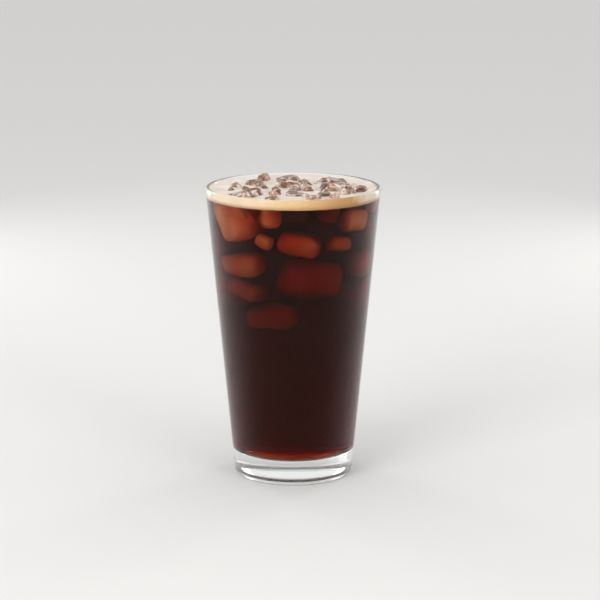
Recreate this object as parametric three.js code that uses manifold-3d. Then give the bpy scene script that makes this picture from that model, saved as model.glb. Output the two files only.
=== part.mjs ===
// An iced americano in a tapered pint glass: a thick-based glass, black coffee, a layer of crema, and
// ice blocks that float up through the crema. Millimetres, +Z up, origin at the middle of the glass's foot.
import * as THREE from "three";
import { mergeVertices } from "three/addons/utils/BufferGeometryUtils.js";
import Module from "manifold-3d";

const wasm = await Module();
wasm.setup();

// Driving sizes of the glass, those of a common 16 oz mixing glass
const RIM_DIAMETER = 88.9;
const FOOT_DIAMETER = 60.3;
const GLASS_HEIGHT = 149;
const LIP_THICKNESS = 2.4;
const LOW_WALL_THICKNESS = 4.4;
const FLOOR_THICKNESS = 12;
const HEEL_RADIUS = 2;
const FLOOR_CORNER_RADIUS = 5;
const PUNT_RADIUS = 20;
const PUNT_DEPTH = 1;
const PUNT_SLOPE = 2.5;

// Levels of what fills the glass
const COFFEE_LEVEL = GLASS_HEIGHT - 5;
const CREMA_LEVEL = GLASS_HEIGHT - 1.6;
const CREMA_SWELL = 0.3;
const CREMA_SWELL_RINGS = 1.5;
const CREMA_CLIMB = 0.5;
const CREMA_CLIMB_POWER = 12;

// Room left between touching solids, and how near two vertices are one
const GAP = 0.35;
const WELD_DISTANCE = 1e-4;

// Fineness of the round shapes
const TURN_STEPS = 60;
const ARC_STEPS = 6;
const CREMA_STEPS = 5;
const ICE_DETAIL = 3;

// Form of a melted ice block: how square it is, how deep the slow dents in its faces are as a share of
// its size, and how fast they come along each axis
const ICE_SQUARENESS = 4.2;
const ICE_DENT = 0.025;
const ICE_WAVES = [2.6, 3.1, 2.9];

// Ice blocks that rise through the crema: middle, size, turn about each axis in degrees
const ICE_BLOCKS = {
  ice_left: { at: [-23.8, -16.5, 137], size: [20, 24.6, 26], turn: [-14, -14, 45] },
  ice_front_left: { at: [-10.4, -30.2, 141.4], size: [10.5, 9.5, 17], turn: [-8, 4, 10] },
  ice_front_middle: { at: [1, -15.5, 142], size: [13.5, 12.5, 14], turn: [7, 9, -6] },
  ice_front_right: { at: [15.2, -18.1, 142.4], size: [10, 10.5, 15], turn: [-6, 8, 20] },
  ice_chip: { at: [7.4, -1.5, 143.4], size: [7.5, 10, 13], turn: [10, -6, 14] },
  ice_middle: { at: [-3, 9, 141], size: [14.5, 17, 20], turn: [-12, 8, 12] },
  ice_right: { at: [20.8, -0.5, 140.6], size: [16.5, 19, 21], turn: [-6, -7, 4] },
  ice_right_edge: { at: [33.8, -5, 143.6], size: [7, 10, 13], turn: [6, 6, -8] },
  ice_back_left: { at: [-20, 16, 140.4], size: [11, 16.5, 20], turn: [8, 10, 24] },
  ice_back: { at: [-3, 29, 140], size: [17, 13.5, 20], turn: [7, -6, -8] },
  ice_back_right: { at: [19.5, 24.5, 140.2], size: [16, 14.5, 20], turn: [6, 9, -34] },
};

// Finishes
const GLASS_FINISH = new THREE.MeshStandardMaterial({
  color: 0xdfe6e4,
  roughness: 0.05,
  metalness: 0,
  transparent: true,
  opacity: 0.35,
});
const COFFEE_FINISH = new THREE.MeshStandardMaterial({ color: 0x2a1511, roughness: 0.08, metalness: 0 });
const CREMA_FINISH = new THREE.MeshStandardMaterial({ color: 0xe6c49c, roughness: 0.7, metalness: 0 });
const ICE_FINISH = new THREE.MeshStandardMaterial({
  color: 0xc9ada0,
  roughness: 0.12,
  metalness: 0,
  transparent: true,
  opacity: 0.5,
});

const rimRadius = RIM_DIAMETER / 2;
const footRadius = FOOT_DIAMETER / 2;
const taper = (rimRadius - footRadius) / GLASS_HEIGHT;

// Radius of the glass's outside at a height
const outerRadius = (z) => footRadius + taper * z;

// Radius of the glass's bore at a height: the wall thins evenly from floor to lip
function boreRadius(z) {
  const up = (z - FLOOR_THICKNESS) / (GLASS_HEIGHT - FLOOR_THICKNESS);
  return outerRadius(z) - THREE.MathUtils.lerp(LOW_WALL_THICKNESS, LIP_THICKNESS, up);
}

// Points on an arc about (r, z), from one angle to another, in degrees
function arc(r, z, radius, from, to) {
  return Array.from({ length: ARC_STEPS + 1 }, (_, i) => {
    const angle = THREE.MathUtils.degToRad(from + ((to - from) * i) / ARC_STEPS);
    return new THREE.Vector2(r + radius * Math.cos(angle), z + radius * Math.sin(angle));
  });
}

// Keeps only positions, merges shared vertices and drops triangles that have lost their area at a pole
function weld(geometry) {
  geometry.deleteAttribute("normal");
  geometry.deleteAttribute("uv");
  const welded = mergeVertices(geometry, WELD_DISTANCE);
  const corners = welded.index.array;
  const kept = [];
  for (let i = 0; i < corners.length; i += 3) {
    const [a, b, c] = corners.slice(i, i + 3);
    if (a !== b && b !== c && c !== a) kept.push(a, b, c);
  }
  return welded.setIndex(kept);
}

// A closed shape turned about the Z axis from a profile of radius and height
function turned(profile) {
  return weld(new THREE.LatheGeometry(profile, TURN_STEPS).rotateX(Math.PI / 2));
}

function toSolid(geometry) {
  return new wasm.Manifold(
    new wasm.Mesh({
      numProp: 3,
      vertProperties: new Float32Array(geometry.attributes.position.array),
      triVerts: new Uint32Array(geometry.index.array),
    }),
  );
}

function toGeometry(solid) {
  const mesh = solid.getMesh();
  const geometry = new THREE.BufferGeometry();
  geometry.setAttribute("position", new THREE.BufferAttribute(mesh.vertProperties, 3));
  geometry.setIndex(new THREE.BufferAttribute(mesh.triVerts, 1));
  geometry.computeVertexNormals();
  return geometry;
}

// The empty glass: a shallow punt under the foot, a rounded heel and lip, and a bore with a rounded
// floor corner
function glassGeometry() {
  const lip = LIP_THICKNESS / 2;
  const lipHeight = GLASS_HEIGHT - lip;
  const floorCorner = boreRadius(FLOOR_THICKNESS + FLOOR_CORNER_RADIUS) - FLOOR_CORNER_RADIUS;
  return turned([
    new THREE.Vector2(0, PUNT_DEPTH),
    new THREE.Vector2(PUNT_RADIUS - PUNT_SLOPE, PUNT_DEPTH),
    new THREE.Vector2(PUNT_RADIUS, 0),
    ...arc(outerRadius(HEEL_RADIUS) - HEEL_RADIUS, HEEL_RADIUS, HEEL_RADIUS, -90, 0),
    ...arc(outerRadius(lipHeight) - lip, lipHeight, lip, 0, 180),
    ...arc(floorCorner, FLOOR_THICKNESS + FLOOR_CORNER_RADIUS, FLOOR_CORNER_RADIUS, 0, -90),
    new THREE.Vector2(0, FLOOR_THICKNESS),
  ]);
}

// A melted ice block about its own middle: a ball pushed out to a rounded box, with slow dents whose
// places the seed sets
function iceGeometry(size, seed, grow = 0) {
  const half = size.map((length) => length / 2 + grow);
  const geometry = weld(new THREE.IcosahedronGeometry(1, ICE_DETAIL));
  const places = geometry.attributes.position;
  const point = new THREE.Vector3();
  for (let i = 0; i < places.count; i++) {
    point.fromBufferAttribute(places, i).normalize();
    const way = point.toArray();
    const fullness = way.reduce((sum, part, axis) => sum + Math.abs(part / half[axis]) ** ICE_SQUARENESS, 0);
    const reach = fullness ** (-1 / ICE_SQUARENESS);
    const waves = way.map((part, axis) => Math.sin(ICE_WAVES[axis] * part + (axis + 1) * seed));
    point.multiplyScalar(reach * (1 + ICE_DENT * (waves[0] * waves[1] + waves[2])));
    places.setXYZ(i, point.x, point.y, point.z);
  }
  return geometry;
}

function iceMesh(name, { at, size, turn }, seed, grow = 0) {
  const mesh = new THREE.Mesh(iceGeometry(size, seed, grow), ICE_FINISH);
  mesh.name = name;
  mesh.position.set(...at);
  mesh.rotation.set(...turn.map(THREE.MathUtils.degToRad));
  mesh.updateMatrix();
  return mesh;
}

// The coffee fills the bore up to the crema, clear of the glass by the gap
function coffeeGeometry() {
  const bottom = FLOOR_THICKNESS + GAP;
  const corner = FLOOR_CORNER_RADIUS;
  const cornerRadius = boreRadius(bottom + corner) - GAP - corner;
  return turned([
    new THREE.Vector2(0, bottom),
    ...arc(cornerRadius, bottom + corner, corner, -90, 0),
    new THREE.Vector2(boreRadius(COFFEE_LEVEL) - GAP, COFFEE_LEVEL),
    new THREE.Vector2(0, COFFEE_LEVEL),
  ]);
}

// The crema: a thin disc whose top swells a little in slow rings and climbs at the glass
function cremaGeometry() {
  const bottom = COFFEE_LEVEL + GAP;
  const wall = boreRadius(CREMA_LEVEL) - GAP;
  const top = Array.from({ length: CREMA_STEPS + 1 }, (_, i) => {
    const out = 1 - i / CREMA_STEPS;
    const climb = CREMA_CLIMB * out ** CREMA_CLIMB_POWER;
    const swell = CREMA_SWELL * Math.sin(2 * Math.PI * CREMA_SWELL_RINGS * out);
    return new THREE.Vector2(wall * out, CREMA_LEVEL + climb + swell * (1 - out));
  });
  return turned([new THREE.Vector2(0, bottom), new THREE.Vector2(boreRadius(bottom) - GAP, bottom), ...top]);
}

// Cuts room for every ice block, with the gap all round it, out of a shape
function cutRoundIce(geometry) {
  let solid = toSolid(geometry);
  Object.entries(ICE_BLOCKS).forEach(([name, block], seed) => {
    const cutter = iceMesh(name, block, seed, GAP);
    solid = solid.subtract(toSolid(cutter.geometry.applyMatrix4(cutter.matrix)));
  });
  return toGeometry(solid);
}

function named(name, geometry, finish) {
  const mesh = new THREE.Mesh(geometry, finish);
  mesh.name = name;
  return mesh;
}

const drink = new THREE.Group();
drink.add(named("glass", glassGeometry(), GLASS_FINISH));
drink.add(named("coffee", cutRoundIce(coffeeGeometry()), COFFEE_FINISH));
drink.add(named("crema", cutRoundIce(cremaGeometry()), CREMA_FINISH));
Object.entries(ICE_BLOCKS).forEach(([name, block], seed) => drink.add(iceMesh(name, block, seed)));

export default drink;
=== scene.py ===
"""Iced americano in a tapered pint glass: finished glass, coffee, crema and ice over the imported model."""

import logging
import math
import random
from dataclasses import dataclass, field
from enum import Enum
from itertools import pairwise
from typing import Any, Sequence

import bpy
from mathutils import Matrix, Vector

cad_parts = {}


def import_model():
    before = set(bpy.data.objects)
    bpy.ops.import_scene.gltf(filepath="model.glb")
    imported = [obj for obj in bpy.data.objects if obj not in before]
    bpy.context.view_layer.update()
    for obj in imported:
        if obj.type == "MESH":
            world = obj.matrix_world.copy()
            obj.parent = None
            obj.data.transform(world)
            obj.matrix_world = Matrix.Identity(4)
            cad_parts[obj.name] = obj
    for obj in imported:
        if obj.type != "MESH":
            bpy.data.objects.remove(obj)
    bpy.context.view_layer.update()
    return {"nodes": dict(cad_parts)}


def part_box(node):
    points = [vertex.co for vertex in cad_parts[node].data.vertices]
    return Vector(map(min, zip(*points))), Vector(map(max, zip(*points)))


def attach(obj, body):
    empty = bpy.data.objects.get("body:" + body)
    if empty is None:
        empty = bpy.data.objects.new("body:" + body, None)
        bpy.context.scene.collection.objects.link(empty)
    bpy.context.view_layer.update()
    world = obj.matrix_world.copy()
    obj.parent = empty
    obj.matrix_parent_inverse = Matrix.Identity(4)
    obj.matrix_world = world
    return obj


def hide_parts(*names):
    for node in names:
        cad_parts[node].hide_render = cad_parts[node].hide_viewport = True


Point = tuple[float, float]
Place = tuple[float, float, float]

MM = 0.001
BODY = "root"

# Fineness of the turned shapes: steps round the axis, round a heel, a floor's corner and a lip
TURN_STEPS = 160
ARC_STEPS = 8
CORNER_STEPS = 12
LIP_STEPS = 14

# Where a straight wall and a level stretch are cut across, as shares of their lengths
WALL_SHARES = (0.01, 0.25, 0.5, 0.75, 0.99)
HALF_WAY = 0.5
NEAR_CORNER = 0.95
NEAR_EDGE = 0.98

# How near two points are one, on a turned shape and on a solid of the frame
TURN_WELD = 1e-6
WELD = 0.01 * MM

# Edges of a turned piece that are sharper than this, in degrees, stay sharp
SHARP_ANGLE = 35

# Turn from one scattered thing to the next, which spreads them evenly over a disc
GOLDEN_ANGLE = math.pi * (3 - math.sqrt(5))

# Radius of the glass's rim, and how far the foam's middle lies under its climbing edge
RIM_RADIUS = 44.45 * MM
CREMA_DIP = 1.1 * MM

# How far a filling reaches into what holds it, so that no film of air shows between them
CONTACT = 0.12 * MM

log = logging.getLogger("iced_americano")


class Slot(Enum):
    """The record's material slots."""

    GLASS = "clear_glass"
    COFFEE = "black_coffee"
    CREMA = "coffee_crema"
    ICE = "clear_ice"


class FoamPart(Enum):
    """The two sides of the foam, by the names of their materials."""

    TOP = "coffee_crema_fine_foam"
    WALL = "coffee_crema_against_glass_painted_light"


def linear(code: str) -> tuple[float, float, float, float]:
    """Turns an sRGB hex colour to linear light.

    Args:
        code: The colour as "#rrggbb".

    Returns:
        Red, green, blue and an alpha of 1.
    """
    parts = [int(code[i : i + 2], 16) / 255 for i in (1, 3, 5)]
    red, green, blue = (p / 12.92 if p <= 0.04045 else ((p + 0.055) / 1.055) ** 2.4 for p in parts)
    return red, green, blue, 1.0


def add_node(
    tree: bpy.types.NodeTree,
    kind: str,
    inputs: dict[Any, Any] | None = None,
    **settings: Any,
) -> bpy.types.Node:
    """Adds a node to a tree.

    Args:
        tree: The node tree.
        kind: The node's type name.
        inputs: Input name or number to a value, or to the output socket that feeds it.
        **settings: Properties of the node itself.

    Returns:
        The new node.
    """
    node = tree.nodes.new(kind)
    for name, value in settings.items():
        setattr(node, name, value)
    for name, value in (inputs or {}).items():
        if isinstance(value, bpy.types.NodeSocket):
            tree.links.new(value, node.inputs[name])
        else:
            node.inputs[name].default_value = value
    return node


def fill_ramp(node: bpy.types.Node, stops: Sequence[tuple[float, str]]) -> None:
    """Gives a colour ramp its stops.

    Args:
        node: The Color Ramp node.
        stops: Position and hex colour of each stop, in order.
    """
    elements = node.color_ramp.elements
    while len(elements) < len(stops):
        elements.new(0.5)
    for element, (position, code) in zip(elements, stops):
        element.position = position
        element.color = linear(code)


def new_material(name: str) -> tuple[bpy.types.Material, bpy.types.NodeTree]:
    """Makes an empty node material.

    Args:
        name: The material's name.

    Returns:
        The material and its emptied node tree.
    """
    material = bpy.data.materials.new(name)
    material.use_nodes = True
    material.node_tree.nodes.clear()
    return material, material.node_tree


def take(piece: bpy.types.Object) -> None:
    """Deselects everything else and makes one object the active one.

    Args:
        piece: The object.
    """
    bpy.ops.object.select_all(action="DESELECT")
    piece.select_set(True)
    bpy.context.view_layer.objects.active = piece


def modify(piece: bpy.types.Object, kind: str, **settings: Any) -> None:
    """Adds a modifier to a piece and applies it.

    Args:
        piece: The piece.
        kind: The modifier's type.
        **settings: The modifier's properties.
    """
    take(piece)
    bpy.ops.object.modifier_add(type=kind)
    modifier = piece.modifiers[-1]
    for name, value in settings.items():
        setattr(modifier, name, value)
    bpy.ops.object.modifier_apply(modifier=modifier.name)


def join(name: str, pieces: Sequence[bpy.types.Object]) -> bpy.types.Object:
    """Joins objects to one that sits at the origin.

    Args:
        name: The joined object's name.
        pieces: The objects.

    Returns:
        The joined object.
    """
    take(pieces[0])
    for piece in pieces:
        piece.select_set(True)
    bpy.ops.object.join()
    joined = bpy.context.object
    joined.name = name
    return joined


def clouds(name: str, grain: float, depth: int = 2) -> bpy.types.Texture:
    """Makes a soft cloud texture for displacement.

    Args:
        name: The texture's name.
        grain: Size of one cloud, in metres.
        depth: How many finer layers it has.

    Returns:
        The texture.
    """
    texture = bpy.data.textures.new(name, type="CLOUDS")
    texture.noise_scale = grain
    texture.noise_depth = depth
    return texture


def arc(middle: Point, radius: float, start: float, end: float, steps: int = ARC_STEPS) -> list[Point]:
    """Points on an arc of a profile.

    Args:
        middle: Radius and height of the arc's middle.
        radius: The arc's own radius.
        start: First angle, in degrees, from the outward direction upwards.
        end: Last angle.
        steps: Number of straight steps.

    Returns:
        The points, from start to end.
    """
    angles = [math.radians(start + (end - start) * i / steps) for i in range(steps + 1)]
    return [(middle[0] + radius * math.cos(a), middle[1] + radius * math.sin(a)) for a in angles]


def between(start: Point, end: Point, shares: Sequence[float]) -> list[Point]:
    """Points part of the way along a straight stretch of a profile."""
    return [(start[0] + (end[0] - start[0]) * s, start[1] + (end[1] - start[1]) * s) for s in shares]


def turn(name: str, profile: Sequence[Point]) -> bpy.types.Object:
    """Draws a profile point by point and spins it about the glass's axis.

    Args:
        name: The new object's name.
        profile: Radius and height of each point, from one point on the axis to another.

    Returns:
        The turned object, closed and facing outwards.
    """
    bpy.ops.object.select_all(action="DESELECT")
    bpy.ops.mesh.primitive_plane_add(size=MM)
    piece = bpy.context.object
    piece.name = name
    bpy.ops.object.mode_set(mode="EDIT")
    bpy.ops.mesh.select_all(action="SELECT")
    bpy.ops.mesh.merge(type="CENTER")
    bpy.ops.transform.translate(value=(profile[0][0], 0, profile[0][1]))
    for here, there in pairwise(profile):
        step = (there[0] - here[0], 0, there[1] - here[1])
        bpy.ops.mesh.extrude_region_move(TRANSFORM_OT_translate={"value": step})
    bpy.ops.mesh.select_all(action="SELECT")
    bpy.ops.mesh.spin(steps=TURN_STEPS, angle=math.tau, center=(0, 0, 0), axis=(0, 0, 1))
    bpy.ops.mesh.select_all(action="SELECT")
    bpy.ops.mesh.remove_doubles(threshold=TURN_WELD)
    bpy.ops.mesh.normals_make_consistent(inside=False)
    bpy.ops.object.mode_set(mode="OBJECT")
    return piece


def finish(
    piece: bpy.types.Object, material: bpy.types.Material, slot: Slot, angle: float = SHARP_ANGLE
) -> None:
    """Smooths a piece, gives it its material and fixes it to the glass.

    Args:
        piece: The finished piece.
        material: Its material.
        slot: The record's slot that the material stands for; not used.
        angle: Edges sharper than this, in degrees, stay sharp.
    """
    take(piece)
    bpy.ops.object.shade_smooth_by_angle(angle=math.radians(angle))
    piece.data.materials.clear()
    piece.data.materials.append(material)
    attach(piece, BODY)
    log.info("%s: %d faces", piece.name, len(piece.data.polygons))


@dataclass(frozen=True)
class PressedGlass:
    """Clear soda-lime glass, pressed and fire-polished: bright, colourless, with a faint slow waviness."""

    tint: str = "#fbfdfc"
    ior: float = 1.5
    roughness: float = 0.01
    glare: float = 0.1
    wave_mm: float = 24
    wave_depth_mm: float = 0.012

    def material(self) -> bpy.types.Material:
        """Builds the material.

        Returns:
            The material.
        """
        material, tree = new_material("soda_lime_glass_fire_polished")
        place = add_node(tree, "ShaderNodeTexCoord").outputs["Object"]
        wave = add_node(tree, "ShaderNodeTexNoise", {"Vector": place, "Scale": 1 / (self.wave_mm * MM)})
        bump = add_node(
            tree,
            "ShaderNodeBump",
            {"Height": wave.outputs["Fac"], "Strength": 1.0, "Distance": self.wave_depth_mm * MM},
        )
        shader = add_node(
            tree,
            "ShaderNodeBsdfPrincipled",
            {
                "Base Color": linear(self.tint),
                "Roughness": self.roughness,
                "IOR": self.ior,
                "Specular Tint": (self.glare, self.glare, self.glare, 1),
                "Transmission Weight": 1.0,
                "Normal": bump.outputs["Normal"],
            },
        )
        add_node(tree, "ShaderNodeOutputMaterial", {"Surface": shader.outputs["BSDF"]})
        return material


@dataclass(frozen=True)
class GroundGlass:
    """The dulled heel and hollow of the foot, which make the clear base look softly white."""

    tint: str = "#f4f4f3"
    ior: float = 1.5
    clear: float = 0.8
    grain_mm: float = 0.6
    smoothest: float = 0.45
    roughest: float = 0.75

    def material(self) -> bpy.types.Material:
        """Builds the material.

        Returns:
            The material.
        """
        material, tree = new_material("soda_lime_glass_ground_foot")
        place = add_node(tree, "ShaderNodeTexCoord").outputs["Object"]
        grain = add_node(tree, "ShaderNodeTexNoise", {"Vector": place, "Scale": 1 / (self.grain_mm * MM)})
        rough = add_node(
            tree,
            "ShaderNodeMapRange",
            {"Value": grain.outputs["Fac"], "To Min": self.smoothest, "To Max": self.roughest},
        )
        shader = add_node(
            tree,
            "ShaderNodeBsdfPrincipled",
            {
                "Base Color": linear(self.tint),
                "Roughness": rough.outputs["Result"],
                "IOR": self.ior,
                "Transmission Weight": self.clear,
            },
        )
        add_node(tree, "ShaderNodeOutputMaterial", {"Surface": shader.outputs["BSDF"]})
        return material


@dataclass(frozen=True)
class BlackCoffee:
    """Brewed black coffee: a clear brown liquid, red-orange where thin, nearly black through the glass."""

    passes: str = "#e99a18"
    density: float = 400.0
    body: str = "#d8bfae"
    cloudiness: float = 9.5
    glare: float = 0.05
    ior: float = 1.333
    roughness: float = 0.0

    def material(self) -> bpy.types.Material:
        """Builds the material.

        Returns:
            The material.
        """
        material, tree = new_material("black_coffee_brewed")
        shader = add_node(
            tree,
            "ShaderNodeBsdfPrincipled",
            {
                "Base Color": (1, 1, 1, 1),
                "Roughness": self.roughness,
                "IOR": self.ior,
                "Transmission Weight": 1.0,
                "Specular Tint": (self.glare, self.glare, self.glare, 1),
            },
        )
        depth = add_node(
            tree, "ShaderNodeVolumeAbsorption", {"Color": linear(self.passes), "Density": self.density}
        )
        oils = add_node(
            tree, "ShaderNodeVolumeScatter", {"Color": linear(self.body), "Density": self.cloudiness}
        )
        volume = add_node(
            tree, "ShaderNodeAddShader", {0: depth.outputs["Volume"], 1: oils.outputs["Volume"]}
        )
        add_node(
            tree,
            "ShaderNodeOutputMaterial",
            {"Surface": shader.outputs["BSDF"], "Volume": volume.outputs["Shader"]},
        )
        return material


@dataclass(frozen=True)
class CoffeeCrema:
    """Fine matt coffee foam with packed bubbles: pinkish white on top, cream to golden at the glass, where
    painted light makes it pale at the lit left and golden at the right, partly its own colour and partly
    painted shade.
    """

    white: str = "#e9dfd6"
    pinkish: str = "#dacbbf"
    # pale, cream, golden and edge colour the foam against the glass along X as painted light: pale where lit
    # at the left, golden in painted shade at the right, paler again at the far right edge
    pale: str = "#f8e6d4"
    cream: str = "#e9c796"
    golden: str = "#d3a670"
    edge: str = "#fdebd6"
    wet_foot: str = "#c08850"
    pinkish_to: float = 0.35
    white_from: float = 0.62
    pale_to: float = 0.12
    cream_at: float = 0.5
    golden_from: float = 0.72
    golden_to: float = 0.78
    edge_from: float = 0.87
    wet_share: float = 0.75
    foot: float = 143.8 * MM
    wet_height: float = 2.4 * MM
    reach: float = 42 * MM
    sway: float = 0.2
    cloud_mm: float = 9.0
    cloud_detail: float = 4.0
    cloud_roughness: float = 0.6
    bubble_mm: float = 0.9
    bubble_depth_mm: float = 0.18
    bubble_strength: float = 0.6
    roughness: float = 0.55
    ior: float = 1.33
    scatter: float = 0.35
    scatter_mm: float = 1.5
    scatter_colour: Place = (1.0, 0.7, 0.45)

    def band_with_painted_light(
        self, tree: bpy.types.NodeTree, place: bpy.types.NodeSocket, cloud: bpy.types.NodeSocket
    ) -> bpy.types.NodeSocket:
        """Colours the foam against the glass with painted light across it: pale where lit at the left,
        golden at the right, partly the foam's own colour and partly painted shade, and wet at its foot.

        Args:
            tree: The material's node tree.
            place: Object coordinates.
            cloud: The foam's slow cloudiness.

        Returns:
            The colour.
        """
        parts = add_node(tree, "ShaderNodeSeparateXYZ", {"Vector": place})
        # Painted light: the ramp runs along X, from pale where lit at the left to golden in painted shade at
        # the right; the cloud only sways it
        across = add_node(
            tree,
            "ShaderNodeMapRange",
            {
                "Value": parts.outputs["X"],
                "From Min": -self.reach,
                "From Max": self.reach,
                "To Max": 1 - self.sway,
            },
        )
        sway = add_node(
            tree,
            "ShaderNodeMath",
            {0: cloud, 1: self.sway, 2: across.outputs["Result"]},
            operation="MULTIPLY_ADD",
        )
        tone = add_node(tree, "ShaderNodeValToRGB", {"Fac": sway.outputs["Value"]})
        fill_ramp(
            tone,
            [
                (self.pale_to, self.pale),
                (self.cream_at, self.cream),
                (self.golden_from, self.golden),
                (self.golden_to, self.golden),
                (self.edge_from, self.edge),
            ],
        )
        wet = add_node(
            tree,
            "ShaderNodeMapRange",
            {
                "Value": parts.outputs["Z"],
                "From Min": self.foot,
                "From Max": self.foot + self.wet_height,
                "To Min": self.wet_share,
                "To Max": 0.0,
            },
            interpolation_type="SMOOTHSTEP",
        )
        colour = add_node(
            tree,
            "ShaderNodeMix",
            {"Factor": wet.outputs["Result"], "A": tone.outputs["Color"], "B": linear(self.wet_foot)},
            data_type="RGBA",
        )
        return colour.outputs["Result"]

    def material(self, part: FoamPart) -> bpy.types.Material:
        """Builds the material.

        Args:
            part: The side of the foam that it is for.

        Returns:
            The material.
        """
        material, tree = new_material(part.value)
        place = add_node(tree, "ShaderNodeTexCoord").outputs["Object"]
        cloud = add_node(
            tree,
            "ShaderNodeTexNoise",
            {
                "Vector": place,
                "Scale": 1 / (self.cloud_mm * MM),
                "Detail": self.cloud_detail,
                "Roughness": self.cloud_roughness,
            },
        )
        tone = add_node(tree, "ShaderNodeValToRGB", {"Fac": cloud.outputs["Fac"]})
        fill_ramp(tone, [(self.pinkish_to, self.pinkish), (self.white_from, self.white)])
        colour = tone.outputs["Color"]
        if part is FoamPart.WALL:
            colour = self.band_with_painted_light(tree, place, cloud.outputs["Fac"])
        bubbles = add_node(
            tree,
            "ShaderNodeTexVoronoi",
            {"Vector": place, "Scale": 1 / (self.bubble_mm * MM)},
            feature="SMOOTH_F1",
        )
        bump = add_node(
            tree,
            "ShaderNodeBump",
            {
                "Height": bubbles.outputs["Distance"],
                "Strength": self.bubble_strength,
                "Distance": self.bubble_depth_mm * MM,
            },
            invert=True,
        )
        shader = add_node(
            tree,
            "ShaderNodeBsdfPrincipled",
            {
                "Base Color": colour,
                "Roughness": self.roughness,
                "IOR": self.ior,
                "Subsurface Weight": self.scatter,
                "Subsurface Radius": self.scatter_colour,
                "Subsurface Scale": self.scatter_mm * MM,
                "Normal": bump.outputs["Normal"],
            },
        )
        add_node(tree, "ShaderNodeOutputMaterial", {"Surface": shader.outputs["BSDF"]})
        return material


@dataclass(frozen=True)
class MeltingIce:
    """Machine ice, wet and melting: faintly cloudy, and in the coffee cloudier and whiter towards the top,
    which is painted light from above, with slow dents that bend what is behind.
    """

    cloudy: str = "#f7e3c4"
    shade: str = "#744c3e"
    tan: str = "#b08b75"
    foamy: str = "#eadbd1"
    ior: float = 1.31
    # clear_low to clear_high, from height low to high: sunken ice that is faintly cloudy of itself clouds
    # over towards the top, as painted light from above
    clear_low: float = 0.75
    clear_high: float = 0.12
    clear_top: float = 0.6
    clear_foamy: float = 0.12
    low: float = 95 * MM
    high: float = 135 * MM
    level: float = 146.5 * MM
    wetting: float = 3 * MM
    film_mm: float = 4.5
    film_detail: float = 3.0
    film_roughness: float = 0.6
    film_distortion: float = 0.6
    shade_to: float = 0.36
    clear_to: float = 0.42
    tan_at: float = 0.5
    foamy_from: float = 0.64
    frost_mm: float = 5.0
    wet_to: float = 0.4
    frosty_from: float = 0.7
    wettest: float = 0.02
    frostiest: float = 0.22
    dent_mm: float = 3.5
    dent_depth_mm: float = 0.25
    dent_strength: float = 0.7
    scatter: float = 0.5
    scatter_mm: float = 3.0
    scatter_colour: Place = (1.0, 0.9, 0.8)

    def material(self, name: str) -> bpy.types.Material:
        """Builds the material.

        Args:
            name: The material's name.

        Returns:
            The material.
        """
        material, tree = new_material(name)
        place = add_node(tree, "ShaderNodeTexCoord").outputs["Object"]
        frost = add_node(tree, "ShaderNodeTexNoise", {"Vector": place, "Scale": 1 / (self.frost_mm * MM)})
        rough = add_node(
            tree,
            "ShaderNodeMapRange",
            {
                "Value": frost.outputs["Fac"],
                "From Min": self.wet_to,
                "From Max": self.frosty_from,
                "To Min": self.wettest,
                "To Max": self.frostiest,
            },
        )
        dents = add_node(tree, "ShaderNodeTexNoise", {"Vector": place, "Scale": 1 / (self.dent_mm * MM)})
        bump = add_node(
            tree,
            "ShaderNodeBump",
            {
                "Height": dents.outputs["Fac"],
                "Strength": self.dent_strength,
                "Distance": self.dent_depth_mm * MM,
            },
        )
        height = add_node(tree, "ShaderNodeSeparateXYZ", {"Vector": place})
        above = add_node(
            tree,
            "ShaderNodeMapRange",
            {"Value": height.outputs["Z"], "From Min": self.level - self.wetting, "From Max": self.level},
        )
        film = add_node(
            tree,
            "ShaderNodeTexNoise",
            {
                "Vector": place,
                "Scale": 1 / (self.film_mm * MM),
                "Detail": self.film_detail,
                "Roughness": self.film_roughness,
                "Distortion": self.film_distortion,
            },
        )
        wet = add_node(tree, "ShaderNodeValToRGB", {"Fac": film.outputs["Fac"]})
        fill_ramp(
            wet, [(self.shade_to, self.shade), (self.tan_at, self.tan), (self.foamy_from, self.foamy)]
        )
        colour = add_node(
            tree,
            "ShaderNodeMix",
            {"Factor": above.outputs["Result"], "A": linear(self.cloudy), "B": wet.outputs["Color"]},
            data_type="RGBA",
        )
        clear_wet = add_node(
            tree,
            "ShaderNodeMapRange",
            {
                "Value": film.outputs["Fac"],
                "From Min": self.clear_to,
                "From Max": self.foamy_from,
                "To Min": self.clear_top,
                "To Max": self.clear_foamy,
            },
        )
        # Painted light: the sunken ice is clearer low down and cloudier, so whiter, towards the top
        sunk_clearness_painted_light = add_node(
            tree,
            "ShaderNodeMapRange",
            {
                "Value": height.outputs["Z"],
                "From Min": self.low,
                "From Max": self.high,
                "To Min": self.clear_low,
                "To Max": self.clear_high,
            },
        )
        clear = add_node(
            tree,
            "ShaderNodeMix",
            {
                "Factor": above.outputs["Result"],
                "A": sunk_clearness_painted_light.outputs["Result"],
                "B": clear_wet.outputs["Result"],
            },
        )
        shader = add_node(
            tree,
            "ShaderNodeBsdfPrincipled",
            {
                "Base Color": colour.outputs["Result"],
                "Roughness": rough.outputs["Result"],
                "IOR": self.ior,
                "Transmission Weight": clear.outputs["Result"],
                "Subsurface Weight": self.scatter,
                "Subsurface Radius": self.scatter_colour,
                "Subsurface Scale": self.scatter_mm * MM,
                "Normal": bump.outputs["Normal"],
            },
        )
        add_node(tree, "ShaderNodeOutputMaterial", {"Surface": shader.outputs["BSDF"]})
        return material


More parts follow.
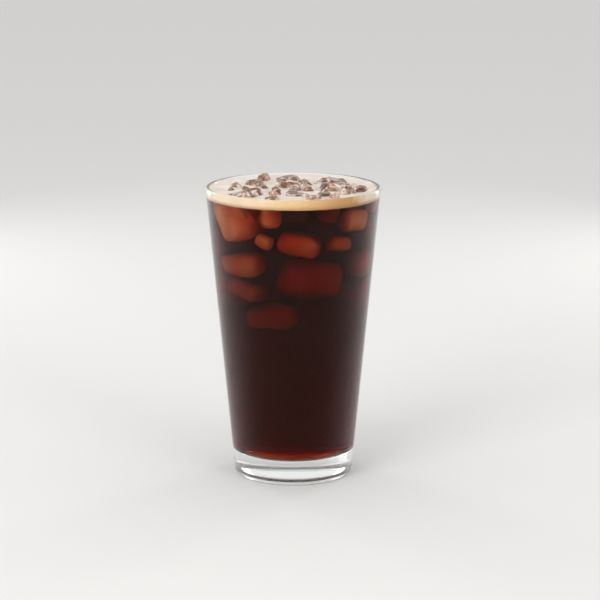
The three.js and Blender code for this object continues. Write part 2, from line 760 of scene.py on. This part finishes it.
@dataclass
class Tumbler:
    """The tapered glass. Its height and rim come from the frame, and the rest are its own sizes."""

    height: float
    rim_radius: float
    foot_radius: float = 30.15 * MM
    lip_thickness: float = 2.4 * MM
    low_wall: float = 4.4 * MM
    floor: float = 12 * MM
    heel: float = 2 * MM
    corner: float = 5 * MM
    punt_radius: float = 20 * MM
    punt_depth: float = 1 * MM
    punt_slope: float = 2.5 * MM
    finish: PressedGlass = field(default_factory=PressedGlass)
    underside: GroundGlass = field(default_factory=GroundGlass)

    def outer(self, height: float) -> float:
        """Radius of the outside at a height."""
        return self.foot_radius + (self.rim_radius - self.foot_radius) * height / self.height

    def bore(self, height: float) -> float:
        """Radius of the inside at a height."""
        up = (height - self.floor) / (self.height - self.floor)
        return self.outer(height) - self.low_wall - (self.lip_thickness - self.low_wall) * up

    def profile(self) -> list[Point]:
        """Draws the closed outline of the glass, from under the foot round the lip to the inside floor.

        Returns:
            Radius and height of each point.
        """
        lip = self.lip_thickness / 2
        top = self.height - lip
        heel = arc((self.outer(self.heel) - self.heel, self.heel), self.heel, -90, 0)
        rim = arc((self.outer(top) - lip, top), lip, 0, 180, LIP_STEPS)
        level = self.floor + self.corner
        inside = arc((self.bore(level) - self.corner, level), self.corner, 0, -90, CORNER_STEPS)
        slope = self.punt_radius - self.punt_slope
        return [
            (0, self.punt_depth),
            (slope * HALF_WAY, self.punt_depth),
            (slope, self.punt_depth),
            (self.punt_radius, 0),
            *heel,
            *between(heel[-1], rim[0], WALL_SHARES),
            *rim,
            *between(rim[-1], inside[0], WALL_SHARES),
            *inside,
            (inside[-1][0] * NEAR_CORNER, self.floor),
            (inside[-1][0] * HALF_WAY, self.floor),
            (0, self.floor),
        ]

    def build(self) -> bpy.types.Object:
        """Models the glass and dresses it.

        Returns:
            The glass.
        """
        piece = turn("pint_glass", self.profile())
        finish(piece, self.finish.material(), Slot.GLASS)
        piece.data.materials.append(self.underside.material())
        for face in piece.data.polygons:
            out = face.center.xy.length
            low = WELD < face.center.z < self.heel
            level = out < self.punt_radius - self.punt_slope
            face.material_index = int(low and not level)
        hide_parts("glass")
        return piece


@dataclass(frozen=True)
class IceBlock:
    """One block of ice: its middle, size and lumps in millimetres, its turn about each axis in degrees."""

    name: str
    middle: Place
    size: Place
    turn: Place
    lump: float = 0.5


# Blocks that float under the crema, wholly in the coffee: those by the front wall first
SUNKEN_BLOCKS = (
    IceBlock("sunken_ice_right_shoulder", (27.2, -18.5, 136), (16, 11, 12.5), (4, 6, 54)),
    IceBlock("sunken_ice_left_corner", (-13.7, -29.8, 127), (9, 5.5, 7.5), (28, 26, -25), 3),
    IceBlock("sunken_ice_front", (3.2, -26.8, 125.5), (20.5, 14, 11.5), (8, 13, -12), 6),
    IceBlock("sunken_ice_front_chip", (20.4, -22.6, 124.4), (11.5, 10.5, 8), (-6, 12, 40), 2),
    IceBlock("sunken_ice_left", (-21.5, -17, 113.2), (24, 14, 12), (6, -8, -52), 3),
    IceBlock("sunken_ice_oval", (6.5, -19, 106.8), (29, 19, 20), (-8, 6, 19), 6),
    IceBlock("sunken_ice_right", (27.4, -6.4, 112), (15, 15, 15), (10, 4, 30)),
    IceBlock("sunken_ice_low_left", (-20, -15.2, 99.8), (20, 13, 10), (-5, 9, -50), 3),
    IceBlock("sunken_ice_lowest", (-9, -16.8, 87.2), (24, 16, 13), (7, -7, -18), 4),
    IceBlock("sunken_ice_heart", (2, -5, 123.2), (13, 12, 9), (12, 8, 25), 3),
    IceBlock("sunken_ice_back_left", (-14.5, 11, 118), (20, 19, 19), (-7, 9, 34)),
    IceBlock("sunken_ice_back_right", (13, 15, 119.5), (20, 20, 17), (9, -8, 22)),
    IceBlock("sunken_ice_back", (-1, 25, 102), (24, 16, 17), (-6, 7, 6)),
    IceBlock("sunken_ice_low_back_left", (-22, 8, 96), (16, 18, 17), (8, 5, 20)),
    IceBlock("sunken_ice_low_right", (21, 10, 94), (17, 17, 17), (-9, 8, 38)),
)


@dataclass
class Ice:
    """All the ice: the blocks that stand through the crema, from the frame, and those sunk in the coffee."""

    nodes: dict[str, bpy.types.Object]
    finish: MeltingIce = field(default_factory=MeltingIce)
    splinter_finish: MeltingIce = field(
        default_factory=lambda: MeltingIce(shade="#8c6757", tan="#bf9f8d", foamy="#ebdfd5")
    )
    rounding: float = 0.36
    dent_size: float = 7 * MM
    dent_depth: float = 4 * MM
    dent_share: float = 0.2
    melted_away: float = 0.74
    lump_size: float = 13 * MM
    facets: float = 0.02
    facet_angle: float = 24
    soft_facets: float = 0.02
    soft_angle: float = 180
    chips: int = 150
    chip_detail: int = 3
    chip_level: float = 146.6 * MM
    chip_reach: float = 34 * MM
    chip_least: float = 2.3 * MM
    chip_most: float = 4.4 * MM
    chip_gap: float = 0.2 * MM
    chip_dent: float = 0.6
    chip_facets: float = 0.06
    chip_angle: float = 20
    chip_widths: Point = (0.8, 1.2)
    chip_heights: Point = (0.7, 1.1)
    chip_tilt: float = 0.6
    seed: int = 5

    def melt(self, piece: bpy.types.Object, inward: float = 0.5) -> None:
        """Rounds a block's faces and dents them as melting does.

        Args:
            piece: The block.
            inward: Share of the dents' depth that goes inwards.
        """
        modify(piece, "SUBSURF", levels=2, render_levels=2)
        texture = clouds(piece.name + "_dents", self.dent_size)
        modify(
            piece,
            "DISPLACE",
            texture=texture,
            strength=min(self.dent_depth, self.dent_share * min(piece.dimensions)),
            mid_level=inward,
            texture_coords="LOCAL",
        )

    def floating(self, name: str, material: bpy.types.Material) -> bpy.types.Object:
        """Finishes one block that stands through the crema, from a merged copy of its solid.

        Args:
            name: The node's name.
            material: The ice material.

        Returns:
            The block.
        """
        piece = bpy.data.objects.new("melting_" + name, self.nodes[name].data.copy())
        bpy.context.scene.collection.objects.link(piece)
        take(piece)
        bpy.ops.object.mode_set(mode="EDIT")
        bpy.ops.mesh.select_all(action="SELECT")
        bpy.ops.mesh.remove_doubles(threshold=WELD)
        bpy.ops.object.mode_set(mode="OBJECT")
        self.melt(piece, self.melted_away)
        modify(piece, "DECIMATE", ratio=self.facets)
        modify(piece, "SUBSURF", subdivision_type="SIMPLE", levels=1, render_levels=1)
        finish(piece, material, Slot.ICE, angle=self.facet_angle)
        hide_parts(name)
        return piece

    def sunken(self, block: IceBlock, material: bpy.types.Material) -> bpy.types.Object:
        """Models one block that is wholly in the coffee.

        Args:
            block: Its size and place.
            material: The ice material.

        Returns:
            The block.
        """
        bpy.ops.object.select_all(action="DESELECT")
        bpy.ops.mesh.primitive_cube_add(
            size=1,
            location=Vector(block.middle) * MM,
            rotation=[math.radians(a) for a in block.turn],
            scale=Vector(block.size) * MM,
        )
        piece = bpy.context.object
        piece.name = block.name
        bpy.ops.object.transform_apply(location=True, rotation=True, scale=True)
        bpy.ops.object.mode_set(mode="EDIT")
        bpy.ops.mesh.select_all(action="SELECT")
        bpy.ops.mesh.bevel(offset=self.rounding * min(block.size) * MM, segments=2, affect="EDGES")
        bpy.ops.mesh.subdivide(number_cuts=1)
        bpy.ops.object.mode_set(mode="OBJECT")
        self.melt(piece)
        texture = clouds(block.name + "_lumps", self.lump_size)
        modify(piece, "DISPLACE", texture=texture, strength=block.lump * MM, texture_coords="LOCAL")
        modify(piece, "DECIMATE", ratio=self.soft_facets)
        modify(piece, "SUBSURF", levels=1, render_levels=1)
        finish(piece, material, Slot.ICE, angle=self.soft_angle)
        return piece

    def crowds(self, block: bpy.types.Object, place: Vector, room: float) -> bool:
        """Tells whether a place lies inside a block or nearer to it than there is room for.

        Args:
            block: The block.
            place: The place.
            room: The distance to keep.

        Returns:
            Whether the block is in the way.
        """
        _, nearest, normal, _ = block.closest_point_on_mesh(place)
        away = place - nearest
        return away.length < room or away.dot(normal) < 0

    def splinter(self, place: Vector, turned: Place, shape: Place) -> bpy.types.Object:
        """Models one small broken bit of ice.

        Args:
            place: Its middle.
            turned: Its turn about each axis, in radians.
            shape: Its half sizes.

        Returns:
            The bit.
        """
        bpy.ops.object.select_all(action="DESELECT")
        bpy.ops.mesh.primitive_ico_sphere_add(
            subdivisions=self.chip_detail, radius=1, location=place, rotation=turned, scale=shape
        )
        piece = bpy.context.object
        bpy.ops.object.transform_apply(location=True, rotation=True, scale=True)
        size = sum(shape) / len(shape)
        texture = clouds("splinter_dents", size)
        modify(piece, "DISPLACE", texture=texture, strength=size * self.chip_dent, texture_coords="LOCAL")
        modify(piece, "DECIMATE", ratio=self.chip_facets)
        return piece

    def splinters(
        self, blocks: Sequence[bpy.types.Object], material: bpy.types.Material
    ) -> bpy.types.Object:
        """Scatters small broken bits of ice in the foam between the blocks, clear of them and each other.

        Args:
            blocks: The blocks that stand through the crema.
            material: The ice material.

        Returns:
            One piece of all the bits.
        """
        draw = random.Random(self.seed)
        placed: list[tuple[Vector, float]] = []
        bits = []
        for i in range(self.chips):
            reach = self.chip_reach * math.sqrt((i + 0.5) / self.chips)
            angle = i * GOLDEN_ANGLE
            middle = Vector((reach * math.cos(angle), reach * math.sin(angle), self.chip_level))
            size = draw.uniform(self.chip_least, self.chip_most)
            shape = (
                size * draw.uniform(*self.chip_widths),
                size * draw.uniform(*self.chip_widths),
                size * draw.uniform(*self.chip_heights),
            )
            turned = (
                draw.uniform(-self.chip_tilt, self.chip_tilt),
                draw.uniform(-self.chip_tilt, self.chip_tilt),
                draw.uniform(0, math.tau),
            )
            room = max(shape) + self.chip_gap
            if any(self.crowds(block, middle, room) for block in blocks):
                continue
            if any((middle - other).length < room + taken for other, taken in placed):
                continue
            placed.append((middle, max(shape)))
            bits.append(self.splinter(middle, turned, shape))
        piece = join("ice_splinters", bits)
        finish(piece, material, Slot.ICE, angle=self.chip_angle)
        return piece

    def build(self) -> list[bpy.types.Object]:
        """Builds every block.

        Returns:
            The blocks that float through the crema, then the sunken ones and the splinters.
        """
        material = self.finish.material("machine_ice_melting")
        blocks = [self.floating(name, material) for name in sorted(self.nodes) if name.startswith("ice_")]
        splinters = self.splinters(blocks, self.splinter_finish.material("machine_ice_splinters"))
        return [*blocks, *(self.sunken(block, material) for block in SUNKEN_BLOCKS), splinters]

    def cutter(self, blocks: Sequence[bpy.types.Object]) -> bpy.types.Object:
        """Joins slightly smaller copies of the blocks, to cut room for the ice.

        Args:
            blocks: The finished blocks.

        Returns:
            One object of all the copies.
        """
        copies = []
        for block in blocks:
            copy = bpy.data.objects.new(block.name + "_room", block.data.copy())
            bpy.context.scene.collection.objects.link(copy)
            modify(copy, "DISPLACE", strength=-CONTACT, mid_level=0)
            copies.append(copy)
        return join("ice_room", copies)


@dataclass
class Coffee:
    """The coffee, which fills the glass up to the crema and reaches just into the wall and the ice."""

    glass: Tumbler
    level: float
    finish: BlackCoffee = field(default_factory=BlackCoffee)

    def profile(self) -> list[Point]:
        """Draws the coffee's outline, from the middle of the floor to the middle of its top.

        Returns:
            Radius and height of each point.
        """
        glass = self.glass
        level = glass.floor + glass.corner
        middle = (glass.bore(level) - glass.corner, level)
        corner = arc(middle, glass.corner + CONTACT, -90, 0, CORNER_STEPS)
        brim = (glass.bore(self.level) + CONTACT, self.level)
        return [
            (0, corner[0][1]),
            (corner[0][0] * HALF_WAY, corner[0][1]),
            (corner[0][0] * NEAR_CORNER, corner[0][1]),
            *corner,
            *between(corner[-1], brim, WALL_SHARES),
            brim,
            (brim[0] * NEAR_EDGE, self.level),
            (0, self.level),
        ]

    def build(self, cutter: bpy.types.Object) -> bpy.types.Object:
        """Models the coffee, cuts room for the ice and dresses it.

        Args:
            cutter: The shape of all the ice.

        Returns:
            The coffee.
        """
        piece = turn("black_coffee", self.profile())
        modify(piece, "BOOLEAN", operation="DIFFERENCE", object=cutter, solver="MANIFOLD")
        finish(piece, self.finish.material(), Slot.COFFEE)
        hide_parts("coffee")
        return piece


@dataclass
class Crema:
    """The layer of foam, from the coffee's level up to just under the lip."""

    glass: Tumbler
    bottom: float
    top: float
    rings: int = 60
    climb: float = 1.3 * MM
    climb_width: float = 4 * MM
    lump: float = 6 * MM
    lump_height: float = 0.8 * MM
    lump_layers: int = 3
    collar: float = 0.5 * MM
    collar_width: float = 2.5 * MM
    edge: float = 1 * MM
    wall_facing: float = 0.7
    finish: CoffeeCrema = field(default_factory=CoffeeCrema)

    def profile(self) -> list[Point]:
        """Draws the foam's outline, from the middle of its underside to the middle of its top.

        Returns:
            Radius and height of each point.
        """
        low = self.bottom - CONTACT
        edge = self.glass.bore(self.bottom) + CONTACT
        wall = self.glass.bore(self.top + self.climb) + CONTACT
        shares = [1 - i / self.rings for i in range(self.rings + 1)]
        surface = [
            (wall * s, self.top + self.climb * math.exp(-wall * (1 - s) / self.climb_width)) for s in shares
        ]
        return [(0, low), (edge * HALF_WAY, low), (edge * NEAR_EDGE, low), (edge, low), *surface]

    def build(self, cutter: bpy.types.Object) -> bpy.types.Object:
        """Models the foam, raises its lumps, cuts room for the ice and dresses it.

        Args:
            cutter: The shape of all the ice.

        Returns:
            The crema.
        """
        piece = turn("coffee_crema", self.profile())
        inside = self.glass.bore(self.top) - self.edge
        upper = [v for v in piece.data.vertices if v.co.z > self.bottom + self.edge]
        loose = [v.index for v in upper if v.co.xy.length < inside]
        piece.vertex_groups.new(name="surface").add(loose, 1.0, "REPLACE")
        modify(
            piece,
            "DISPLACE",
            texture=clouds("crema_lumps", self.lump, self.lump_layers),
            strength=self.lump_height,
            direction="Z",
            vertex_group="surface",
            texture_coords="LOCAL",
        )
        piece.vertex_groups.new(name="collar").add(loose, 1.0, "REPLACE")
        modify(
            piece,
            "VERTEX_WEIGHT_PROXIMITY",
            vertex_group="collar",
            target=cutter,
            proximity_mode="GEOMETRY",
            proximity_geometry={"FACE"},
            min_dist=self.collar_width,
            max_dist=0,
        )
        modify(piece, "DISPLACE", strength=self.collar, mid_level=0, direction="Z", vertex_group="collar")
        modify(piece, "BOOLEAN", operation="DIFFERENCE", object=cutter, solver="MANIFOLD")
        finish(piece, self.finish.material(FoamPart.TOP), Slot.CREMA)
        piece.data.materials.append(self.finish.material(FoamPart.WALL))
        for face in piece.data.polygons:
            outward = face.normal.dot(Vector((face.center.x, face.center.y, 0)).normalized())
            face.material_index = int(outward > self.wall_facing and face.center.xy.length > inside)
        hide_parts("crema")
        return piece


@dataclass(frozen=True)
class SoftLamp:
    """One soft lamp: its place, width and height in metres, and its power in watts."""

    name: str
    place: Place
    size: Point
    power: float


# Two broad lamps before the glass and a tall strip at each side behind it
LAMPS = (
    SoftLamp("soft_lamp_front", (-0.9, -1.2, 0.35), (0.9, 0.6), 21),
    SoftLamp("soft_lamp_right", (0.9, -1.1, 0.4), (0.6, 0.6), 6),
    SoftLamp("strip_lamp_left", (-0.5, 0.62, 0.2), (0.16, 0.7), 1.5),
    SoftLamp("strip_lamp_right", (0.5, 0.62, 0.2), (0.16, 0.7), 1.5),
)


@dataclass
class Studio:
    """A pale floor, soft light all round and the camera that the photo was taken with."""

    camera_distance: float = 1.098
    camera_height: float = 0.3333
    camera_pitch: float = 12.5
    camera_yaw: float = 0.181
    focal_pixels: float = 2199
    image_pixels: int = 600
    floor_radius: float = 12.0
    floor_sides: int = 96
    floor_colour: str = "#dad9d7"
    floor_roughness: float = 0.9
    floor_drop: float = 0.15 * MM
    light_behind: float = 0.85
    light_before: float = 0.95
    before: Place = (0, -0.98, 0.2)
    behind_to: float = 0.3
    before_from: float = 0.9
    lamp_aim: Place = (0, 0, 0.1)
    sensor_width: float = 36
    clear_bounces: int = 40
    diffuse_bounces: int = 4
    glossy_bounces: int = 8
    volume_bounces: int = 4

    def floor(self) -> None:
        """Lays a wide pale floor."""
        bpy.ops.object.select_all(action="DESELECT")
        bpy.ops.mesh.primitive_circle_add(
            vertices=self.floor_sides,
            radius=self.floor_radius,
            fill_type="NGON",
            location=(0, 0, -self.floor_drop),
        )
        bpy.ops.object.transform_apply(location=True)
        floor = bpy.context.object
        floor.name = "studio_floor"
        material, tree = new_material("studio_paper_matt")
        shader = add_node(
            tree,
            "ShaderNodeBsdfPrincipled",
            {"Base Color": linear(self.floor_colour), "Roughness": self.floor_roughness},
        )
        add_node(tree, "ShaderNodeOutputMaterial", {"Surface": shader.outputs["BSDF"]})
        floor.data.materials.append(material)

    def surround(self) -> None:
        """Lights the scene from all round, a little brighter from behind the camera."""
        world = bpy.data.worlds.new("soft_studio")
        bpy.context.scene.world = world
        world.use_nodes = True
        tree = world.node_tree
        tree.nodes.clear()
        way = add_node(tree, "ShaderNodeTexCoord").outputs["Generated"]
        facing = add_node(
            tree, "ShaderNodeVectorMath", {0: way, 1: self.before}, operation="DOT_PRODUCT"
        )
        share = add_node(
            tree,
            "ShaderNodeMapRange",
            {
                "Value": facing.outputs["Value"],
                "From Min": self.behind_to,
                "From Max": self.before_from,
                "To Min": self.light_behind,
                "To Max": self.light_before,
            },
            interpolation_type="SMOOTHSTEP",
        )
        light = add_node(
            tree, "ShaderNodeBackground", {"Color": (1, 1, 1, 1), "Strength": share.outputs["Result"]}
        )
        add_node(tree, "ShaderNodeOutputWorld", {"Surface": light.outputs["Background"]})

    def hang(self, lamp: SoftLamp) -> None:
        """Hangs one soft lamp that faces the glass and isn't seen itself.

        Args:
            lamp: The lamp.
        """
        bpy.ops.object.light_add(type="AREA", location=lamp.place)
        light = bpy.context.object
        light.name = lamp.name
        light.data.shape = "RECTANGLE"
        light.data.size, light.data.size_y = lamp.size
        light.data.energy = lamp.power
        light.rotation_euler = (Vector(self.lamp_aim) - light.location).to_track_quat("-Z", "Y").to_euler()
        light.visible_camera = False

    def camera(self) -> None:
        """Places the camera at the photo's angle."""
        bpy.ops.object.camera_add(
            location=(0, -self.camera_distance, self.camera_height),
            rotation=(math.radians(90 - self.camera_pitch), 0, -math.radians(self.camera_yaw)),
        )
        camera = bpy.context.object
        camera.data.sensor_width = self.sensor_width
        camera.data.lens = self.focal_pixels * self.sensor_width / self.image_pixels
        bpy.context.scene.camera = camera

    def build(self) -> None:
        """Sets the studio up and lets light pass through many clear walls."""
        self.floor()
        self.surround()
        for lamp in LAMPS:
            self.hang(lamp)
        self.camera()
        scene = bpy.context.scene
        scene.view_settings.view_transform = "Standard"
        scene.cycles.max_bounces = self.clear_bounces
        scene.cycles.transmission_bounces = self.clear_bounces
        scene.cycles.diffuse_bounces = self.diffuse_bounces
        scene.cycles.glossy_bounces = self.glossy_bounces
        scene.cycles.volume_bounces = self.volume_bounces


def main() -> None:
    """Loads the frame, builds each sub-assembly over it and sets the studio up."""
    logging.basicConfig(level=logging.INFO, format="%(message)s")
    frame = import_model()
    nodes = frame["nodes"]

    glass_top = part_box("glass")[1]
    glass = Tumbler(height=glass_top[2], rim_radius=RIM_RADIUS)
    glass.build()

    ice = Ice(nodes=nodes)
    blocks = ice.build()
    cutter = ice.cutter(blocks)

    coffee_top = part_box("coffee")[1][2]
    Coffee(glass=glass, level=coffee_top).build(cutter)
    crema_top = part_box("crema")[1][2]
    Crema(glass=glass, bottom=coffee_top, top=crema_top - CREMA_DIP).build(cutter)
    bpy.data.objects.remove(cutter, do_unlink=True)

    Studio().build()


if __name__ == "__main__":
    main()
